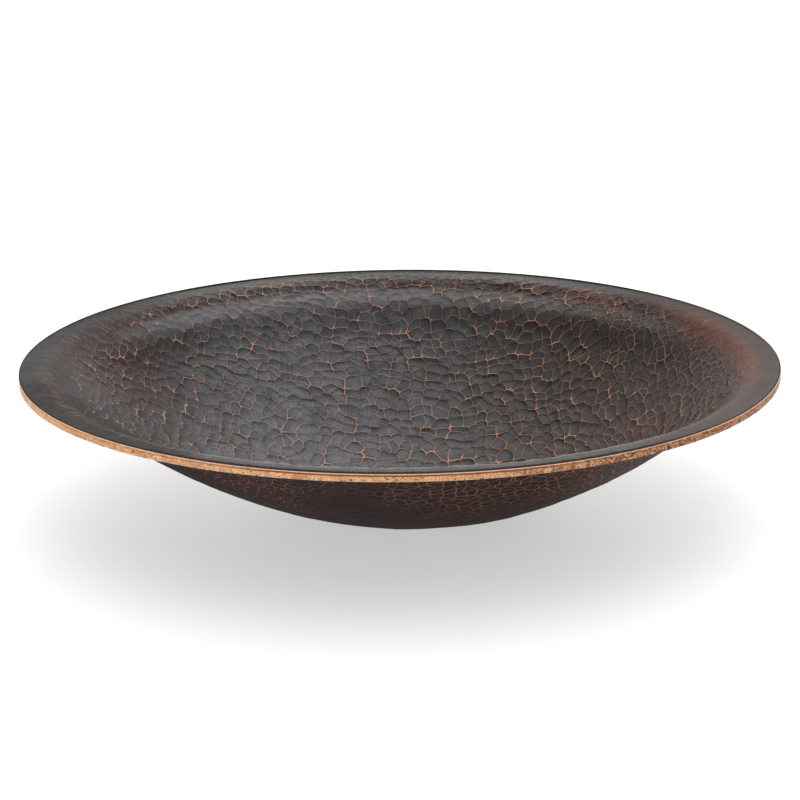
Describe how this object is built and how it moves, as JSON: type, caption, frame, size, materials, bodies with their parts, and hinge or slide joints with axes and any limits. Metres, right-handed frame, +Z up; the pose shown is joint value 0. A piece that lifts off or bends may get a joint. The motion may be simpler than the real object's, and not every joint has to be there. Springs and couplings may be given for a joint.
{
  "type": "hammered copper tray",
  "caption": "Deep oval tray of hammered, patinated copper sheet, with a flat turned-out lip stiffened by a bar and ground bright at its edge.",
  "frame": {"origin": "middle of the flat foot, on the surface that the tray stands on", "axes": "+X along the oval's length, +Y across its width, +Z up out of the bowl's mouth"},
  "size_m": [0.5, 0.333, 0.102],
  "materials": {
    "patinated_copper": "hammered copper, dark oiled patina rubbed back to copper on the ridges, satin",
    "ground_copper": "bare copper, ground, pitted, satin",
    "braze": "tarnished brazing alloy, dull"
  },
  "bodies": {
    "root": {"dish": "patinated_copper", "rim_bar": "ground_copper", "bar_joint_braze": "braze", "seam_braze": "braze"}
  },
  "joints": []
}
